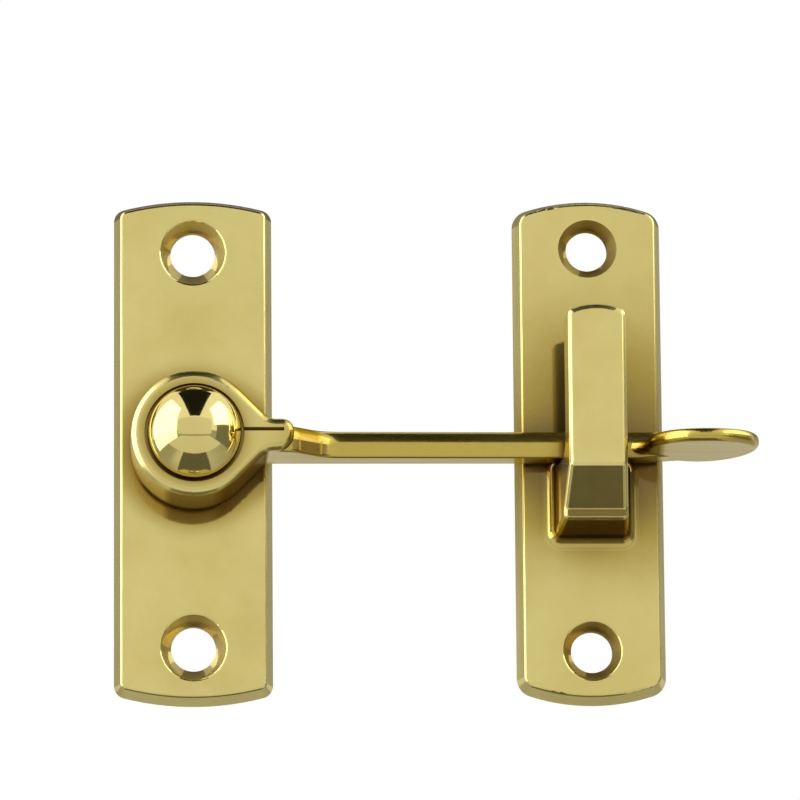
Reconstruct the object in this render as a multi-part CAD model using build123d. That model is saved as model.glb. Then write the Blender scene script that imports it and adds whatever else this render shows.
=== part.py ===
from build123d import *
import os
from math import cos, radians, sin, sqrt, tan

# Shutter latch in millimetres: X runs along the closed bar, Y into the shutters, Z up.
# The backs of both plates lie on Y = 0 and every height is measured from a plate's front face.

# Plates
plate_length = 51.2
plate_thickness = 2.4
plate_draft = 16.0
plate_edge_radius = 0.3
plate_pitch = 39.6

latch_plate_width = 15.8
latch_plate_end_radius = 28.0
latch_plate_corner_radius = 1.3
latch_screw_inset = 5.65
latch_bore_diameter = 4.5
latch_sink_diameter = 6.6

keeper_plate_width = 14.9
keeper_plate_end_radius = 20.0
keeper_plate_corner_radius = 1.9
keeper_screw_inset = 5.25
keeper_bore_diameter = 4.2
keeper_sink_diameter = 5.9

# Countersunk screw holes
sink_angle = 75.0
sink_mouth_radius = 0.35

# Fits
radial_clearance = 0.06
axial_clearance = 0.1
seat_clearance = 0.05

# Pivot
boss_diameter = 11.6
boss_height = 0.7
boss_fillet = 0.2
shank_diameter = 5.0
tail_diameter = 4.0
tail_head_diameter = 6.2
tail_head_depth = 1.1
dome_diameter = 9.2
dome_land = 1.4
dome_height = 4.3
dome_recess_depth = 1.1
dome_recess_clearance = 0.3

# Latch bar
eye_diameter = 12.5
eye_front = 9.6
eye_flank_angle = 45.0
eye_edge_radius = 0.8
neck_fillet = 1.6
tongue_end = 9.8
tongue_rise = 0.35
tongue_radius = 1.2
tongue_low_radius = 1.8
tongue_step = 1.1
seam_height = 0.35
seam_width = 0.36
seam_depth = 0.25
seam_end = 8.8
sweep_start = 9.6
sweep_end = 13.2
sweep_radius = 3.0
bar_thickness = 2.85
bar_drop = 0.3
bar_front_at_neck = 4.75
bar_front_at_thumb = 4.3
bar_crown_radius = 1.55
bar_low_edge_radius = 0.3
bar_back_edge_radius = 0.4

# Thumb piece
thumb_overhang = 10.6
thumb_half_length = 5.5
thumb_half_depth = 6.6
thumb_thickness = 1.3
thumb_sag = 0.9
thumb_dish_radius = 70.0
thumb_blend_radius = 3.0
thumb_edge_radius = 0.55
thumb_stem_inset = 0.4
bar_heel = 4.3
bar_crest = 8.6
bar_toe = 11.6

# Hook
hook_root_width = 7.7
hook_draft = 4.7
hook_front = 10.9
hook_top = 12.7
hook_arch_radius = 6.5
hook_leg_thickness = 3.2
hook_chamfer = 3.9
hook_underside = 8.2
hook_lip = 0.9
hook_root_underside = 9.5
hook_throat_radius = 2.0
hook_edge_radius = 0.65
hook_root_fillet = 1.2

# Heights that follow from the sizes above
bar_back = boss_height + axial_clearance
bar_top = bar_thickness / 2 - bar_drop
bar_bottom = bar_top - bar_thickness
dome_seat = eye_front - dome_recess_depth + axial_clearance
tongue_top = bar_top + tongue_rise
hook_floor = bar_bottom - seat_clearance
through = 4 * plate_length

# The thumb piece lies beyond the keeper, and the bar tapers into it
thumb_centre = plate_pitch + thumb_overhang
heel_x = plate_pitch + bar_heel
crest_x = plate_pitch + bar_crest
toe_x = plate_pitch + bar_toe


def at(height):
    """Y of a plane that lies this high above the plates' front faces."""
    return -plate_thickness - height


def plate_blank(width, end_radius, corner_radius):
    """Plate with bowed ends, lying on Y = 0, drafted towards its front and rounded along that edge."""
    half = width / 2
    tip = plate_length / 2
    side = tip - end_radius + sqrt(end_radius**2 - half**2)
    top = ThreePointArc((-half, side), (0, tip), (half, side))
    bottom = ThreePointArc((half, -side), (0, -tip), (-half, -side))
    sides = [Line((half, side), (half, -side)), Line((-half, -side), (-half, side))]
    outline = make_face([top, sides[0], bottom, sides[1]])
    outline = fillet(outline.vertices(), corner_radius)
    blank = extrude(Plane.XZ * outline, plate_thickness, taper=plate_draft)
    front = blank.faces().sort_by(Axis.Y)[0]
    return fillet(front.edges(), plate_edge_radius)


def turned(*points):
    """Solid of revolution about the Y axis from corner points (radius, Y)."""
    return revolve(make_face(Polyline(*points, close=True)), Axis.Y)


def screw_hole(bore_diameter, sink_diameter):
    """Countersunk hole through a plate, on the Y axis."""
    bore = bore_diameter / 2
    head = sink_diameter / 2
    sink = (head - bore) / tan(radians(sink_angle / 2))
    clear = plate_thickness
    return turned(
        (0, clear),
        (bore, clear),
        (bore, at(-sink)),
        (head, at(0)),
        (head, at(clear)),
        (0, at(clear)),
    )


def front_face(plate):
    """A plate's flat front."""
    level = plate.faces().filter_by(Plane.XZ).filter_by(lambda face: abs(face.center().Y - at(0)) < 1e-6)
    return level.sort_by(SortBy.AREA)[-1]


def drilled(plate, inset, bore_diameter, sink_diameter):
    """Plate with a screw hole near each end, each with a rounded mouth."""
    height = plate_length / 2 - inset
    for side in (1, -1):
        plate = plate - Pos(0, 0, side * height) * screw_hole(bore_diameter, sink_diameter)
    wires = front_face(plate).inner_wires()
    mouths = [wire.edges() for wire in wires if abs(wire.center().Z) > height / 2]
    return fillet(mouths[0] + mouths[1], sink_mouth_radius)


def footing(plate):
    """Edges where what stands on a plate meets its front face."""
    return front_face(plate).inner_wires()[0].edges()


def latch_plate():
    plate = plate_blank(latch_plate_width, latch_plate_end_radius, latch_plate_corner_radius)
    plate = plate + extrude(Plane.XZ * Circle(boss_diameter / 2), -at(boss_height))
    plate = fillet(footing(plate), boss_fillet)
    tail = turned(
        (0, 0),
        (tail_head_diameter / 2, 0),
        (tail_diameter / 2, -tail_head_depth),
        (tail_diameter / 2, at(boss_height)),
        (0, at(boss_height)),
    )
    return drilled(plate - tail, latch_screw_inset, latch_bore_diameter, latch_sink_diameter)


def pivot_stud():
    """Shouldered stud with a domed head, its tail spread into the back of the latch plate."""
    base = at(dome_seat + dome_land)
    radius = dome_diameter / 2
    sphere = (radius**2 + dome_height**2) / (2 * dome_height)
    ball = Pos(0, base - dome_height + sphere, 0) * Sphere(sphere)
    dome = ball & Pos(0, at(dome_seat), 0) * extrude(Plane.XZ * Circle(radius), through)
    stem = turned(
        (0, 0),
        (tail_head_diameter / 2, 0),
        (tail_diameter / 2, -tail_head_depth),
        (tail_diameter / 2, at(boss_height)),
        (shank_diameter / 2, at(boss_height)),
        (shank_diameter / 2, at(dome_seat)),
        (radius, at(dome_seat)),
        (radius, base),
        (0, base),
    )
    return dome + stem


def nearest(shape, point):
    """The outline's corner nearest to a point."""
    return shape.vertices().sort_by_distance(Vector(*point))[0]


def eye():
    """Round eye that narrows into a seamed tongue with a rounded end, its front rim rounded."""
    reach = eye_diameter / 2
    lean = radians(eye_flank_angle)
    point = reach / sin(lean)
    touch = (reach * sin(lean), reach * cos(lean))
    flanks = make_face(Polyline((0, 0), touch, (point, 0), (touch[0], -touch[1]), close=True))
    tongue = make_face(
        Polyline(
            (0, bar_bottom),
            (tongue_end, bar_bottom),
            (tongue_end, tongue_top),
            (0, tongue_top),
            close=True,
        )
    )
    outline = Circle(reach) + flanks + tongue
    for level, radius in ((tongue_top, tongue_radius), (bar_bottom, tongue_low_radius)):
        outline = fillet(nearest(outline, (point - abs(level) / tan(lean), level)), neck_fillet)
        outline = fillet(nearest(outline, (tongue_end, level)), radius)
    body = Pos(0, at(bar_back), 0) * extrude(Plane.XZ * outline, eye_front - bar_back)
    body = fillet(body.faces().sort_by(Axis.Y)[0].edges(), eye_edge_radius)
    front = at(eye_front)
    groove = make_face(
        Polyline(
            (front + seam_depth, seam_height),
            (front - seam_depth, seam_height + seam_width),
            (front - seam_depth, seam_height - seam_width),
            close=True,
        )
    )
    return body - extrude(Plane.YZ * groove, seam_end)


def dome_recess():
    """Round recess in the eye's front that the foot of the dome stands in."""
    disc = Plane.XZ * Circle(dome_diameter / 2 + dome_recess_clearance)
    return Pos(0, at(eye_front - dome_recess_depth), 0) * extrude(disc, through)


def strip():
    """Bar with a straight back and a front that sweeps back from the eye, rounder above than below."""
    middle = -thumb_sag
    side = make_face(
        Polyline(
            (0, bar_bottom),
            (heel_x, bar_bottom),
            (toe_x, middle - thumb_thickness / 4),
            (toe_x, middle + thumb_thickness / 4),
            (crest_x, bar_top),
            (0, bar_top),
            close=True,
        )
    )
    high = at(eye_front - tongue_step)
    neck = (sweep_start, high)
    foot = (sweep_end, at(bar_front_at_neck))
    plan = make_face(
        Polyline(
            (0, at(bar_back)),
            (toe_x, at(bar_back)),
            (toe_x, at(bar_front_at_thumb)),
            foot,
            neck,
            (0, high),
            close=True,
        )
    )
    plan = fillet(nearest(plan, neck), sweep_radius)
    plan = fillet(nearest(plan, foot), sweep_radius)
    body = extrude(Plane.XZ * side, through) & extrude(Plane.XY * plan, through, both=True)
    for level, radius in ((bar_top, bar_crown_radius), (bar_bottom, bar_low_edge_radius)):
        rim = body.edges().filter_by(lambda edge: abs(edge.center().Z - level) < 1e-6)
        rim = rim.filter_by(lambda edge: 1e-6 < edge.center().X < heel_x)
        body = fillet(rim.filter_by(lambda edge: edge.center().Y < at(bar_back)), radius)
    return body


def thumb():
    """Oval thumb piece, slightly dished along the bar, on a short stem inside the bar's end."""
    inner = thumb_dish_radius - thumb_thickness / 2
    outer = thumb_dish_radius + thumb_thickness / 2
    below = Pos(0, -thumb_dish_radius) * Rectangle(4 * thumb_half_length, thumb_dish_radius)
    dish = Pos(thumb_centre, thumb_dish_radius - thumb_sag) * (below & Circle(outer) - Circle(inner))
    stem_front = at(bar_front_at_thumb - thumb_stem_inset)
    stem_start = heel_x - thumb_blend_radius
    stem = make_face(
        Polyline(
            (stem_start, at(bar_back + thumb_stem_inset)),
            (thumb_centre, at(bar_back + thumb_stem_inset)),
            (thumb_centre, stem_front),
            (stem_start, stem_front),
            close=True,
        )
    )
    oval = Pos(thumb_centre, at(bar_back + thumb_half_depth)) * Ellipse(thumb_half_length, thumb_half_depth)
    plan = stem + oval
    plan = fillet(nearest(plan, (thumb_centre - thumb_half_length, stem_front)), thumb_blend_radius)
    body = extrude(Plane.XZ * dish, through) & extrude(Plane.XY * plan, through, both=True)
    seams = body.edges().filter_by(Axis.Y) + body.edges().filter_by(Axis.Z)
    return fillet([edge for edge in body.edges() if edge not in seams], thumb_edge_radius)


def latch_bar():
    bar = eye() + strip()
    rim = bar.faces().sort_by(Axis.Y)[-1].edges().filter_by(lambda edge: edge.center().X < heel_x)
    bar = fillet(rim, bar_back_edge_radius) + thumb()
    bar = bar - extrude(Plane.XZ * Circle(shank_diameter / 2 + radial_clearance), through)
    return bar - dome_recess()


def hook():
    """Upright hook, drafted from its root, arched at its top and chamfered down to a rounded lip."""
    inside = at(hook_front - hook_leg_thickness)
    throat = (inside, hook_floor)
    root = at(-plate_thickness / 2)
    side = make_face(
        Polyline(
            (root, -hook_root_underside),
            (at(hook_front - hook_chamfer), -hook_underside),
            (at(hook_front - hook_chamfer), hook_lip - hook_underside),
            (at(hook_front), hook_lip + hook_chamfer - hook_underside),
            (at(hook_front), plate_length),
            (inside, plate_length),
            throat,
            (root, hook_floor),
            close=True,
        )
    )
    side = fillet(nearest(side, throat), hook_throat_radius)
    block = Plane.XZ * Rectangle(hook_root_width, 2 * plate_length)
    wedge = Pos(0, root, 0) * extrude(block, root - at(hook_front + hook_edge_radius), taper=hook_draft)
    column = Pos(0, -plate_length / 2) * Rectangle(2 * hook_arch_radius, plate_length)
    arch = Pos(0, hook_top - hook_arch_radius) * (Circle(hook_arch_radius) + column)
    body = extrude(Plane.YZ * side, through, both=True) & wedge & extrude(Plane.XZ * arch, through)
    buried = body.faces().sort_by(Axis.Y)[-1].edges()
    low = hook_floor - seat_clearance
    high = hook_floor + hook_throat_radius + seat_clearance
    seams = body.edges().filter_by(Axis.X).filter_by(lambda edge: low < edge.center().Z < high)
    return fillet([edge for edge in body.edges() if edge not in buried + seams], hook_edge_radius)


def keeper_plate():
    plate = plate_blank(keeper_plate_width, keeper_plate_end_radius, keeper_plate_corner_radius)
    plate = plate + hook()
    plate = fillet(footing(plate), hook_root_fillet)
    plate = drilled(plate, keeper_screw_inset, keeper_bore_diameter, keeper_sink_diameter)
    return Pos(plate_pitch, 0, 0) * plate


os.makedirs("parts", exist_ok=True)
export_step(latch_plate(), "parts/latch_plate.step")
export_step(pivot_stud(), "parts/pivot_stud.step")
export_step(latch_bar(), "parts/latch_bar.step")
export_step(keeper_plate(), "parts/keeper_plate.step")
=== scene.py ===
import math

import bpy
from mathutils import Matrix, Vector

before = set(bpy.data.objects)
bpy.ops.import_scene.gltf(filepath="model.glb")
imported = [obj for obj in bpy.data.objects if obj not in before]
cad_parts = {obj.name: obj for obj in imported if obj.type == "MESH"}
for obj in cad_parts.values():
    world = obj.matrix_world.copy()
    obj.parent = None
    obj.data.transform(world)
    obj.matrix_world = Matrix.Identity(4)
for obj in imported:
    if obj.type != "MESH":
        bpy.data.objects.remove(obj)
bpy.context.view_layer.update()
scene = bpy.context.scene
scene.view_settings.view_transform = "Standard"

# Camera: a long lens a little below the latch, as in the photograph, with its angles in degrees
VIEW_AZIMUTH = -2.68
VIEW_ELEVATION = -10.13
VIEW_ROLL = -0.47
VIEW_DISTANCE = 0.6
VIEW_TARGET = Vector((0.02047, -0.006, 0.00428))
LENS_MM = 272.0
SENSOR_MM = 36.0
NEAREST_SEEN = 0.01

# Brass, as reflectance in linear light: even, paler and deeper spots; painted shade as a warmer tone on the
# bar's neck, as shaded and deep tones in corners and on faces turned from the light, and as grey and dark
# tones on such faces;
# and the tint of a surface seen at a low angle
BRASS = (0.80, 0.67, 0.24, 1.0)
BRASS_PALE = (0.84, 0.72, 0.28, 1.0)
BRASS_DEEP = (0.75, 0.61, 0.20, 1.0)
WARM_PAINTED_SHADE = (0.60, 0.46, 0.095, 1.0)
BRASS_PAINTED_SHADE = (0.45, 0.32, 0.06, 1.0)
CORNER_PAINTED_SHADE = (0.20, 0.137, 0.048, 1.0)
GREY_PAINTED_SHADE = (0.20, 0.165, 0.13, 1.0)
DARK_PAINTED_SHADE = (0.08, 0.06, 0.04, 1.0)
LOW_ANGLE = (1.0, 0.97, 0.86, 1.0)

# Uneven tint: how fine its spots are, and the noise values of the deep, even and pale spots
TINT_SCALE = 110.0
TINT_DETAIL = 4.0
TINT_ROUGHNESS = 0.6
NOISE_LOW = 0.3
NOISE_MIDDLE = 0.5
NOISE_HIGH = 0.7

# Polishing lines: how fine they are along X, Y and Z, how strong and deep, and how far they vary the gloss
UPRIGHT = (900.0, 900.0, 60.0)
ALONG = (60.0, 900.0, 900.0)
TURNED = (400.0, 400.0, 400.0)
LINE_DETAIL = 3.0
LINE_STRENGTH = 0.04
LINE_DEPTH = 0.0001
GLOSS_SPREAD = 0.15

# Painted shade in corners: how open a corner still is where the shade is full, where the deep tone begins
# and where that is full, and the largest share of the shade
SHADE_FULL = 0.68
CORNER_BEGINS = 0.74
CORNER_FULL = 0.42
SHADE_SHARE = 0.9
CORNER_SAMPLES = 16

# Limits of faces: a place or a way that a surface faces, where an effect begins and where it is full
HOOK = ("place Y", -0.0024, -0.003)
LIP = ("place Z", -0.0069, -0.0073)
EYE = ("place X", 0.0075, 0.0065)
SWEEP = ("place X", 0.0145, 0.0135)
PAST_EYE = ("place X", 0.0055, 0.0115)
LOWER = ("place Z", 0.0004, -0.0006)
IN_PLATE = ("place Y", -0.0026, -0.0023)
FACES_FRONT = ("faces Y", -0.8, -0.95)
FACES_BACK = ("faces Y", 0.1, 0.6)
FACES_RIGHT = ("faces X", 0.25, 0.5)
SLOPES_DOWN = ("faces Z", -0.5, -0.75)
FACES_DOWN = ("faces Z", -0.86, -0.95)
SINK = (IN_PLATE, ("faces Y", -0.85, -0.75), ("faces Y", -0.4, -0.5))

# Satin sheen in the countersinks, as a share
SINK_SATIN = 0.6

# Painted shade on faces: their limits, and the share and the tone of the painted shade
# Painted shade in the countersinks: a grey tone on their cones
SINK_PAINTED_SHADE = ((SINK, 0.3, GREY_PAINTED_SHADE),)
# Painted shade on the hook: its downward slope, its underside, its back and the front of its lip
KEEPER_PAINTED_SHADE = SINK_PAINTED_SHADE + (
    ((HOOK, SLOPES_DOWN), 0.7, BRASS_PAINTED_SHADE),
    ((HOOK, FACES_DOWN), 0.85, GREY_PAINTED_SHADE),
    ((HOOK, FACES_BACK), 0.9, DARK_PAINTED_SHADE),
    ((HOOK, LIP, FACES_FRONT), 1.0, BRASS_PAINTED_SHADE),
    ((HOOK, LIP, FACES_FRONT), 0.8, CORNER_PAINTED_SHADE),
)
# Painted shade on the bar: under the eye, and on the sweep that faces right, deeper on its lower half
BAR_PAINTED_SHADE = (
    ((EYE, FACES_DOWN), 0.5, BRASS_PAINTED_SHADE),
    ((EYE, FACES_DOWN), 0.4, GREY_PAINTED_SHADE),
    ((SWEEP, FACES_RIGHT), 1.0, BRASS_PAINTED_SHADE),
    ((SWEEP, LOWER, FACES_RIGHT), 0.5, CORNER_PAINTED_SHADE),
)

# Studio: white that is seen and mirrored, even light for the rest, and a pale floor far below
WHITE = (1.0, 1.0, 1.0, 1.0)
SEEN_LEVEL = 1.0
LIGHT_LEVEL = 0.45
FLOOR_Z = -0.75
FLOOR_HALF = 13.0
FLOOR_GREY = (0.78, 0.78, 0.77, 1.0)
FLOOR_ROUGHNESS = 0.9

# Cards that show only in the brass: centre, half width and half height as vectors, and brightness
CARDS = {
    "front_card": ((0.0, -0.95, 0.13), (0.85, 0, 0), (0, 0, 0.38), 0.77),
    "front_floor_card": ((0.0, -0.58, -0.34), (0.7, 0, 0), (0, 0.4, 0), 0.74),
    "overhead_card": ((0.01, -0.35, 0.62), (0.24, 0, 0), (0, 0.7, 0), 0.012),
    "under_card": ((0.0, 0.08, -0.335), (0.17, 0, 0), (0, 0.26, 0), 0.14),
    "right_low_card": ((0.78, -0.05, -0.1), (0, 0.5, 0), (0, 0, 0.26), 0.2),
    "high_back_card": ((0.0, 1.3, 0.68), (1.6, 0, 0), (0, 0, 0.3), 0.12),
    "mid_back_card": ((0.0, 1.3, 0.215), (1.6, 0, 0), (0, 0, 0.165), 0.38),
    "low_back_card": ((0.0, 1.3, -0.15), (1.6, 0, 0), (0, 0, 0.2), 0.65),
}

# Softboxes: place, the point that each is aimed at, width, height and brightness
SOFTBOXES = {
    "left_softbox": ((-0.75, -0.16, 0.4), (0.02, -0.16, 0.4), 1.18, 1.5, 2.2),
    "right_softbox": ((0.75, -0.16, 0.6), (-0.02, -0.16, 0.6), 1.0, 0.84, 2.1),
}


def make_camera():
    azimuth = math.radians(VIEW_AZIMUTH)
    elevation = math.radians(VIEW_ELEVATION)
    roll = math.radians(VIEW_ROLL)
    level = math.cos(elevation)
    back = Vector((math.sin(azimuth) * level, -math.cos(azimuth) * level, math.sin(elevation)))
    right = Vector((math.cos(azimuth), math.sin(azimuth), 0))
    up = back.cross(right)
    rolled_right = math.cos(roll) * right + math.sin(roll) * up
    rolled_up = back.cross(rolled_right)
    data = bpy.data.cameras.new("camera")
    data.lens = LENS_MM
    data.sensor_width = SENSOR_MM
    data.clip_start = NEAREST_SEEN
    camera = bpy.data.objects.new("camera", data)
    turn = Matrix((rolled_right, rolled_up, back)).transposed().to_4x4()
    camera.matrix_world = Matrix.Translation(VIEW_TARGET + back * VIEW_DISTANCE) @ turn
    scene.collection.objects.link(camera)
    scene.camera = camera


def new_material(name):
    material = bpy.data.materials.new(name)
    material.use_nodes = True
    material.node_tree.nodes.clear()
    return material, material.node_tree.nodes, material.node_tree.links


def blend(nodes, links, share, first, second):
    """Colour that goes from the first to the second as the share grows."""
    mix = nodes.new("ShaderNodeMix")
    mix.data_type = "RGBA"
    links.new(share, mix.inputs["Factor"])
    if isinstance(first, tuple):
        mix.inputs["A"].default_value = first
    else:
        links.new(first, mix.inputs["A"])
    mix.inputs["B"].default_value = second
    return mix.outputs["Result"]


def graded(nodes, links, value, first, last, most):
    """Share that grows smoothly from none at the first value to the most at the last."""
    ramp = nodes.new("ShaderNodeMapRange")
    ramp.interpolation_type = "SMOOTHSTEP"
    ramp.inputs["From Min"].default_value = first
    ramp.inputs["From Max"].default_value = last
    ramp.inputs["To Max"].default_value = most
    links.new(value, ramp.inputs["Value"])
    return ramp.outputs["Result"]


def joined(nodes, links, operation, first, second):
    """Result of one sum on two values."""
    step = nodes.new("ShaderNodeMath")
    step.operation = operation
    links.new(first, step.inputs[0])
    links.new(second, step.inputs[1])
    return step.outputs["Value"]


def measured(nodes, links, place):
    """Place and facing of a surface along each axis, by name."""
    measures = {}
    for kind, source in (("place", "Object"), ("faces", "Normal")):
        apart = nodes.new("ShaderNodeSeparateXYZ")
        links.new(place.outputs[source], apart.inputs["Vector"])
        for axis in "XYZ":
            measures[kind + " " + axis] = apart.outputs[axis]
    return measures


def within(nodes, links, measures, limits, most):
    """Share that reaches the most where all the limits are met."""
    (measure, first, last), *others = limits
    share = graded(nodes, links, measures[measure], first, last, most)
    for measure, first, last in others:
        grade = graded(nodes, links, measures[measure], first, last, 1.0)
        share = joined(nodes, links, "MULTIPLY", share, grade)
    return share


def uneven_tint(nodes, links, place):
    """Brass that wanders a little between its deeper and paler spots."""
    spots = nodes.new("ShaderNodeTexNoise")
    spots.inputs["Scale"].default_value = TINT_SCALE
    spots.inputs["Detail"].default_value = TINT_DETAIL
    spots.inputs["Roughness"].default_value = TINT_ROUGHNESS
    links.new(place.outputs["Object"], spots.inputs["Vector"])
    ramp = nodes.new("ShaderNodeValToRGB")
    ramp.color_ramp.elements[0].position = NOISE_LOW
    ramp.color_ramp.elements[0].color = BRASS_DEEP
    ramp.color_ramp.elements[1].position = NOISE_HIGH
    ramp.color_ramp.elements[1].color = BRASS_PALE
    middle = ramp.color_ramp.elements.new(NOISE_MIDDLE)
    middle.color = BRASS
    links.new(spots.outputs["Fac"], ramp.inputs["Fac"])
    return ramp.outputs["Color"]


def painted_corner_shade(nodes, links, reach, begins, deepest):
    """Shares and tones of the painted shade where other surfaces are near."""
    # Painted shade: the less open a corner, the more of the shaded and the deep tone
    corner = nodes.new("ShaderNodeAmbientOcclusion")
    corner.samples = CORNER_SAMPLES
    corner.inputs["Distance"].default_value = reach
    openness = corner.outputs["AO"]
    return [
        (graded(nodes, links, openness, begins, SHADE_FULL, SHADE_SHARE), BRASS_PAINTED_SHADE),
        (graded(nodes, links, openness, CORNER_BEGINS, CORNER_FULL, deepest), CORNER_PAINTED_SHADE),
    ]


def polishing_lines(nodes, links, place, grain):
    """Fine lines along the grain: their noise, and the bump that it makes."""
    stretch = nodes.new("ShaderNodeMapping")
    stretch.inputs["Scale"].default_value = grain
    links.new(place.outputs["Object"], stretch.inputs["Vector"])
    lines = nodes.new("ShaderNodeTexNoise")
    lines.inputs["Scale"].default_value = 1.0
    lines.inputs["Detail"].default_value = LINE_DETAIL
    links.new(stretch.outputs["Vector"], lines.inputs["Vector"])
    bump = nodes.new("ShaderNodeBump")
    bump.inputs["Strength"].default_value = LINE_STRENGTH
    bump.inputs["Distance"].default_value = LINE_DEPTH
    links.new(lines.outputs["Fac"], bump.inputs["Height"])
    return lines.outputs["Fac"], bump.outputs["Normal"]


def metal(nodes, links, colour, edge, lines, relief, roughness):
    """Metal whose gloss varies a little along its polishing lines."""
    gloss = nodes.new("ShaderNodeMapRange")
    gloss.inputs["From Min"].default_value = NOISE_LOW
    gloss.inputs["From Max"].default_value = NOISE_HIGH
    gloss.inputs["To Min"].default_value = roughness * (1 - GLOSS_SPREAD)
    gloss.inputs["To Max"].default_value = roughness * (1 + GLOSS_SPREAD)
    links.new(lines, gloss.inputs["Value"])
    shader = nodes.new("ShaderNodeBsdfPrincipled")
    shader.inputs["Metallic"].default_value = 1.0
    links.new(colour, shader.inputs["Base Color"])
    links.new(edge, shader.inputs["Specular Tint"])
    links.new(gloss.outputs["Result"], shader.inputs["Roughness"])
    links.new(relief, shader.inputs["Normal"])
    return shader.outputs["BSDF"]


def brass(name, polish, satin, satin_share, grain, corners, painted_shade_faces=(), satin_faces=(), painted_warm_part=()):
    """Lacquered brass with an uneven tint, fine polishing lines, and painted shade in corners and on some
    faces.

    Polish and satin are the roughness of its two sheens. Corners are the reach of the painted corner shade,
    the openness at which it begins and the share of the deepest tone. Satin faces, the faces with painted
    shade and the part with a painted warmer shade are given by limits.
    """
    material, nodes, links = new_material(name)
    out = nodes.new("ShaderNodeOutputMaterial")
    place = nodes.new("ShaderNodeTexCoord")
    measures = measured(nodes, links, place)

    colour = uneven_tint(nodes, links, place)
    # Painted shade: a darker, warmer tone on the bar's neck past the eye
    if painted_warm_part:
        painted_warmth = within(nodes, links, measures, painted_warm_part, 1.0)
        colour = blend(nodes, links, painted_warmth, colour, WARM_PAINTED_SHADE)
    # Painted shade in corners and on faces darkens both the colour and the low-angle tint
    edge = LOW_ANGLE
    painted_shades = painted_corner_shade(nodes, links, *corners)
    for limits, most, tone in painted_shade_faces:
        painted_shades.append((within(nodes, links, measures, limits, most), tone))
    for share, tone in painted_shades:
        colour = blend(nodes, links, share, colour, tone)
        edge = blend(nodes, links, share, edge, tone)

    lines, relief = polishing_lines(nodes, links, place, grain)
    sheen = nodes.new("ShaderNodeMixShader")
    sheen.inputs["Fac"].default_value = satin_share
    if satin_faces:
        matt = nodes.new("ShaderNodeMath")
        matt.operation = "MAXIMUM"
        matt.inputs[0].default_value = satin_share
        links.new(within(nodes, links, measures, satin_faces, SINK_SATIN), matt.inputs[1])
        links.new(matt.outputs["Value"], sheen.inputs["Fac"])
    for slot, roughness in ((1, polish), (2, satin)):
        links.new(metal(nodes, links, colour, edge, lines, relief, roughness), sheen.inputs[slot])
    links.new(sheen.outputs["Shader"], out.inputs["Surface"])
    return material


def make_world():
    """White all round for what is seen and mirrored, and even soft light for the rest."""
    world = bpy.data.worlds.new("studio")
    scene.world = world
    world.use_nodes = True
    nodes = world.node_tree.nodes
    links = world.node_tree.links
    nodes.clear()
    out = nodes.new("ShaderNodeOutputWorld")
    path = nodes.new("ShaderNodeLightPath")
    seen = path.outputs["Is Camera Ray"]
    for ray in ("Is Glossy Ray", "Is Transmission Ray"):
        seen = joined(nodes, links, "MAXIMUM", seen, path.outputs[ray])
    mix = nodes.new("ShaderNodeMixShader")
    links.new(seen, mix.inputs["Fac"])
    for slot, level in ((1, LIGHT_LEVEL), (2, SEEN_LEVEL)):
        background = nodes.new("ShaderNodeBackground")
        background.inputs["Color"].default_value = WHITE
        background.inputs["Strength"].default_value = level
        links.new(background.outputs["Background"], mix.inputs[slot])
    links.new(mix.outputs["Shader"], out.inputs["Surface"])


def plane(name, centre, across, along):
    """Rectangle with its two half sides given as vectors."""
    centre, across, along = Vector(centre), Vector(across), Vector(along)
    corners = [
        centre - across - along,
        centre + across - along,
        centre + across + along,
        centre - across + along,
    ]
    mesh = bpy.data.meshes.new(name)
    mesh.from_pydata([tuple(corner) for corner in corners], [], [(0, 1, 2, 3)])
    obj = bpy.data.objects.new(name, mesh)
    scene.collection.objects.link(obj)
    return obj


def make_floor():
    material, nodes, links = new_material("floor")
    out = nodes.new("ShaderNodeOutputMaterial")
    shader = nodes.new("ShaderNodeBsdfPrincipled")
    shader.inputs["Base Color"].default_value = FLOOR_GREY
    shader.inputs["Roughness"].default_value = FLOOR_ROUGHNESS
    links.new(shader.outputs["BSDF"], out.inputs["Surface"])
    floor = plane("floor", (0, 0, FLOOR_Z), (FLOOR_HALF, 0, 0), (0, FLOOR_HALF, 0))
    floor.data.materials.append(material)


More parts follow.
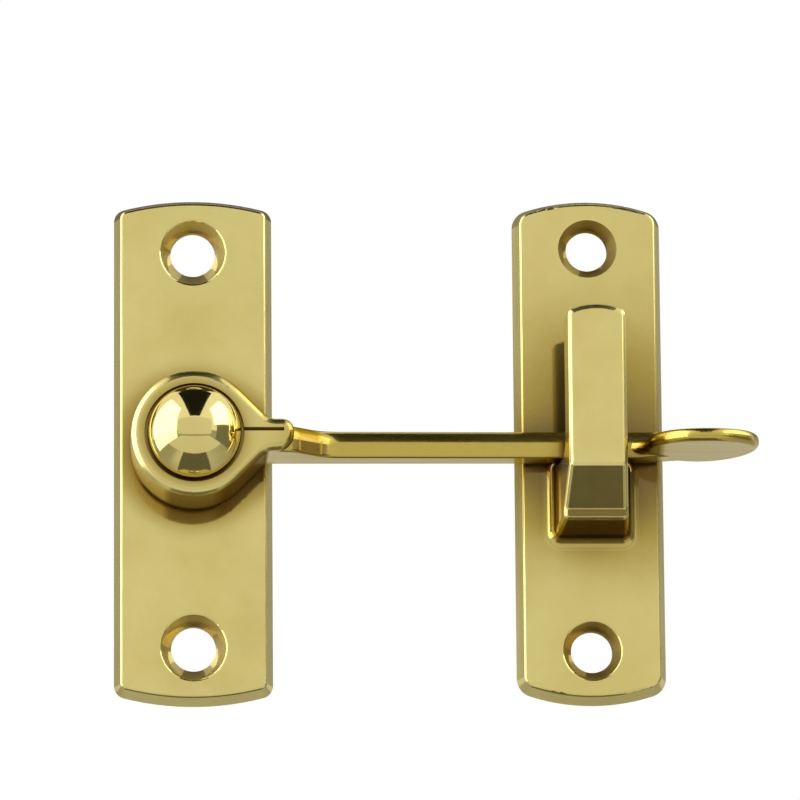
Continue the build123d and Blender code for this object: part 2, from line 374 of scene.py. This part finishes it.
def card(name, centre, across, along, level):
    """Plain studio card of one grey, which shows only in the brass."""
    material, nodes, links = new_material(name)
    out = nodes.new("ShaderNodeOutputMaterial")
    glow = nodes.new("ShaderNodeEmission")
    glow.inputs["Color"].default_value = WHITE
    glow.inputs["Strength"].default_value = level
    links.new(glow.outputs["Emission"], out.inputs["Surface"])
    obj = plane(name, centre, across, along)
    obj.data.materials.append(material)
    obj.visible_camera = False
    obj.visible_diffuse = False
    obj.visible_shadow = False
    obj.visible_transmission = False


def softbox(name, place, aim, width, height, level):
    """Area lamp whose face is this bright."""
    data = bpy.data.lights.new(name, "AREA")
    data.shape = "RECTANGLE"
    data.size = width
    data.size_y = height
    data.energy = level * math.pi * width * height
    lamp = bpy.data.objects.new(name, data)
    lamp.location = place
    lamp.rotation_euler = (Vector(aim) - Vector(place)).to_track_quat("-Z", "Y").to_euler()
    lamp.visible_camera = False
    scene.collection.objects.link(lamp)


make_camera()
make_world()
make_floor()
for name, values in CARDS.items():
    card(name, *values)
for name, values in SOFTBOXES.items():
    softbox(name, *values)

finishes = {
    "latch_plate": brass(
        "plate_brass",
        polish=0.06,
        satin=0.42,
        satin_share=0.1,
        grain=UPRIGHT,
        corners=(0.0045, 0.93, 0.95),
        painted_shade_faces=SINK_PAINTED_SHADE,
        satin_faces=SINK,
    ),
    "keeper_plate": brass(
        "keeper_brass",
        polish=0.07,
        satin=0.42,
        satin_share=0.25,
        grain=UPRIGHT,
        corners=(0.016, 1.0, 0.95),
        painted_shade_faces=KEEPER_PAINTED_SHADE,
        satin_faces=SINK,
    ),
    "latch_bar": brass(
        "bar_brass",
        polish=0.12,
        satin=0.3,
        satin_share=0.5,
        grain=ALONG,
        corners=(0.0035, 0.93, 0.75),
        painted_shade_faces=BAR_PAINTED_SHADE,
        # Painted warm shade on the neck past the eye
        painted_warm_part=(PAST_EYE,),
    ),
    "pivot_stud": brass(
        "polished_brass",
        polish=0.06,
        satin=0.12,
        satin_share=0.2,
        grain=TURNED,
        corners=(0.002, 0.9, 0.9),
    ),
}
for node, material in finishes.items():
    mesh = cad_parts[node].data
    mesh.materials.clear()
    mesh.materials.append(material)
